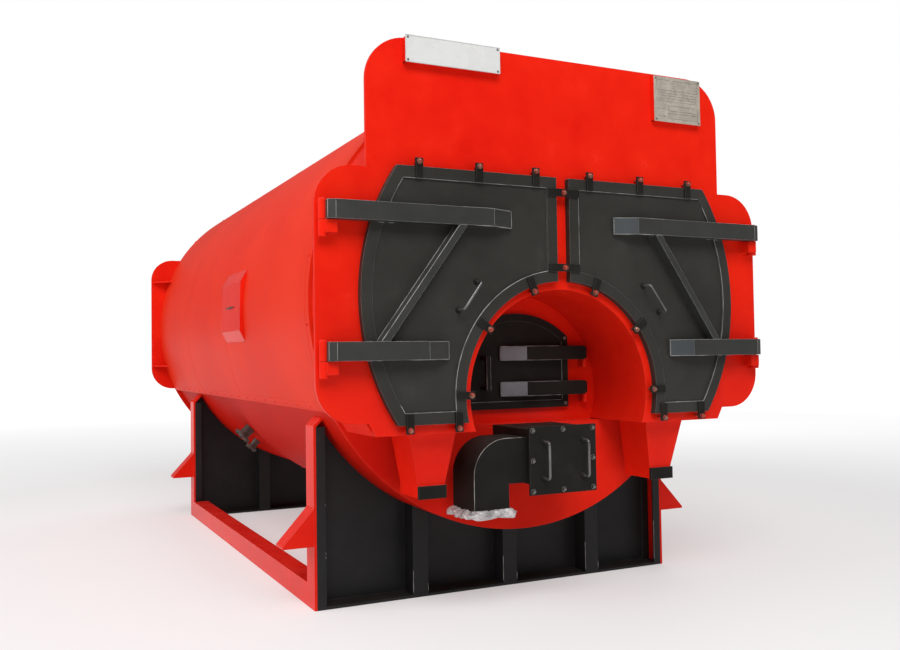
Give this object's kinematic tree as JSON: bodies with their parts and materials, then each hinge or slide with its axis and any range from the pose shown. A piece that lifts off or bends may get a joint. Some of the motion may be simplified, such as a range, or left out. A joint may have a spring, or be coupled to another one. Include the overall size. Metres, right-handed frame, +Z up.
{
  "type": "industrial smoke-tube boiler",
  "caption": "Horizontal solid-fuel steam boiler on two saddles, with an eared front plate, hinged smoke-box doors and a fire door set in an arched niche.",
  "frame": {"origin": "centre of the bounding box on the floor", "axes": "+X to the right when facing the doors, +Y from the front to the rear along the shell, +Z up"},
  "size_m": [2.3, 4.497, 2.489],
  "materials": {
    "red_paint": "gloss",
    "black_paint": "satin",
    "bare_steel": "worn",
    "cast_iron": "rough",
    "white_plate": "gloss",
    "metal_plate": "satin",
    "clear_film": "crinkled"
  },
  "bodies": {
    "boiler": {"air_duct": "black_paint", "ash_cover_handles": "black_paint", "ash_pit_box": "black_paint", "ash_pit_cover": "black_paint", "cladding_lower": "red_paint", "cladding_upper": "red_paint", "data_plate": "metal_plate", "duct_film": "clear_film", "fire_door_hinges": "red_paint", "fire_grate": "cast_iron", "front_plate": "red_paint", "front_saddle": "black_paint", "front_saddle_sides": "red_paint", "front_tube_plate": "red_paint", "furnace_front": "red_paint", "furnace_tube": "red_paint", "left_door_hinges": "red_paint", "left_hopper_cap": "black_paint", "left_jacking_brackets": "red_paint", "left_skid": "red_paint", "left_soot_hopper": "red_paint", "niche_liner": "red_paint", "plate_standoffs": "red_paint", "pressure_shell": "red_paint", "rear_cover": "red_paint", "rear_gussets": "red_paint", "rear_plate": "red_paint", "rear_saddle": "black_paint", "rear_saddle_sides": "red_paint", "right_door_hinges": "red_paint", "right_hopper_cap": "black_paint", "right_jacking_brackets": "red_paint", "right_skid": "red_paint", "right_soot_hopper": "red_paint", "shell_nozzles": "bare_steel", "side_access_cover": "red_paint", "smoke_box": "red_paint", "title_plate": "white_plate"},
    "left_door": {"left_door_bolts": "bare_steel", "left_door_brace": "black_paint", "left_door_handle": "black_paint", "left_door_hinge_eyes": "red_paint", "left_door_lugs": "black_paint", "left_door_panel": "black_paint", "left_door_straps": "black_paint"},
    "right_door": {"right_door_bolts": "bare_steel", "right_door_brace": "black_paint", "right_door_handle": "black_paint", "right_door_hinge_eyes": "red_paint", "right_door_lugs": "black_paint", "right_door_panel": "black_paint", "right_door_straps": "black_paint"},
    "fire_door": {"fire_door_eyes": "black_paint", "fire_door_handle": "black_paint", "fire_door_panel": "black_paint", "fire_door_straps": "black_paint"}
  },
  "joints": [
    {"name": "left_door_swing", "type": "hinge", "parent": "boiler", "child": "left_door", "pos_m": [-1.121, -2.1815, 1.4535], "axis": [0, 0, -1], "range_deg": [0, 105]},
    {"name": "right_door_swing", "type": "hinge", "parent": "boiler", "child": "right_door", "pos_m": [1.121, -2.1815, 1.4535], "axis": [0, 0, 1], "range_deg": [0, 105]},
    {"name": "fire_door_swing", "type": "hinge", "parent": "boiler", "child": "fire_door", "pos_m": [0.383, -1.7685, 1.0705], "axis": [0, 0, 1], "range_deg": [0, 60]}
  ]
}
